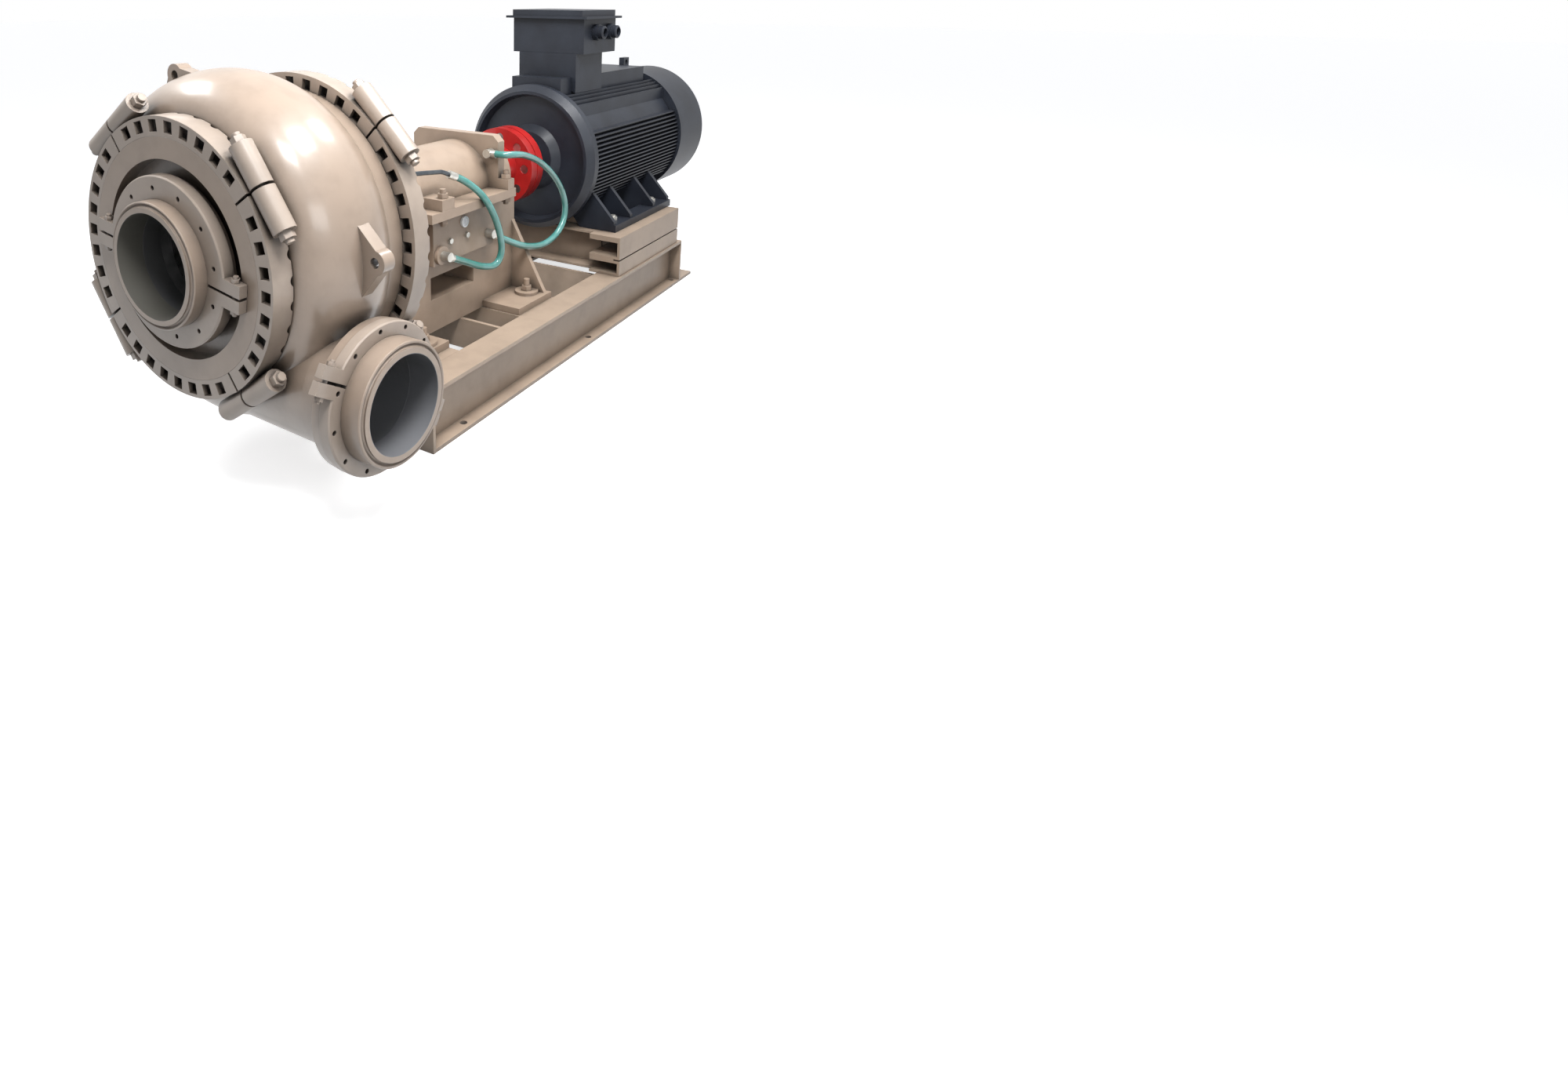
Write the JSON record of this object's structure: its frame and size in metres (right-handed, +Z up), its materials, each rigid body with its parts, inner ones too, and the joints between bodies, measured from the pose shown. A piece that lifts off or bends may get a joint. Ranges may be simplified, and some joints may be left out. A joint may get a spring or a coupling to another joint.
{
  "type": "motor-driven slurry pump on skid",
  "caption": "Horizontal gravel and slurry pump with clamped volute, bearing pedestal, pin coupling and finned motor on a steel skid.",
  "frame": {"origin": "centre of the four corner anchor holes, on the skid's underside, straight below the shaft", "axes": "+Z up, +Y along the shaft from the suction towards the motor's fan, +X towards the discharge"},
  "size_m": [1.1527, 3.245, 1.362],
  "materials": {
    "sand_paint": "semi-gloss enamel over cast and rolled steel",
    "motor_paint": "dark blue-grey textured enamel",
    "coupling_paint": "gloss red enamel",
    "wear_iron": "hard high-chrome white iron, as cast",
    "machine_steel": "turned and ground",
    "zinc_steel": "dull zinc plating",
    "bronze": "turned",
    "packing": "plaited and greased",
    "sight": "clear over a pale oil level",
    "hose": "translucent braided tube",
    "core_steel": "varnished laminations",
    "rotor_cage": "cast cage in laminations",
    "fan_plastic": "moulded"
  },
  "bodies": {
    "frame": {"bearing_housing": "sand_paint", "bearing_outer_rings": "machine_steel", "cable_glands": "motor_paint", "cap_screws": "zinc_steel", "chest_plugs": "zinc_steel", "cross_members": "sand_paint", "discharge_joint_ring": "sand_paint", "discharge_pipe": "sand_paint", "drive_end_shield": "motor_paint", "fan_cowl": "motor_paint", "fan_end_shield": "motor_paint", "flange_bolts": "zinc_steel", "foot_studs": "zinc_steel", "front_bearing_cover": "sand_paint", "front_clamp_bolts": "zinc_steel", "front_clamp_ring": "sand_paint", "front_cover": "sand_paint", "gland": "sand_paint", "gland_packing": "packing", "gland_studs": "zinc_steel", "hose_fittings": "zinc_steel", "housing_clamp_bolts": "zinc_steel", "lantern_ring": "bronze", "left_beam": "sand_paint", "motor_base": "sand_paint", "motor_bearing_outer_rings": "machine_steel", "motor_bolts": "zinc_steel", "motor_frame": "motor_paint", "oil_chest": "sand_paint", "oil_hose": "hose", "pedestal": "sand_paint", "rear_bearing_cover": "sand_paint", "rear_clamp_bolts": "zinc_steel", "rear_clamp_ring": "sand_paint", "rear_cover": "sand_paint", "right_beam": "sand_paint", "seal_water_hose": "hose", "seal_water_pipe": "zinc_steel", "sight_glass": "sight", "split_ring_bolts": "zinc_steel", "stator_core": "core_steel", "stuffing_box": "sand_paint", "suction_joint_ring": "sand_paint", "suction_pipe": "sand_paint", "terminal_box": "motor_paint", "terminal_lid": "motor_paint", "terminal_turret": "motor_paint", "throat_bush": "wear_iron", "volute_casing": "sand_paint"},
    "pump_rotor": {"pump_shaft": "machine_steel", "shaft_sleeve": "machine_steel", "impeller": "wear_iron", "bearing_inner_rings": "machine_steel", "pump_coupling_half": "coupling_paint"},
    "motor_rotor": {"motor_shaft": "machine_steel", "rotor_core": "rotor_cage", "cooling_fan": "fan_plastic", "motor_coupling_half": "coupling_paint", "coupling_pins": "machine_steel", "motor_bearing_inner_rings": "machine_steel"}
  },
  "joints": [
    {"name": "motor_spin", "type": "hinge", "parent": "frame", "child": "motor_rotor", "pos_m": [0, 0.7, 0.712], "axis": [0, 1, 0], "continuous": true},
    {"name": "pump_spin", "type": "hinge", "parent": "frame", "child": "pump_rotor", "pos_m": [0, -0.5, 0.712], "axis": [0, 1, 0], "continuous": true}
  ],
  "couplings": [
    {"joint": "pump_spin", "follows": "motor_spin", "ratio": 1}
  ]
}
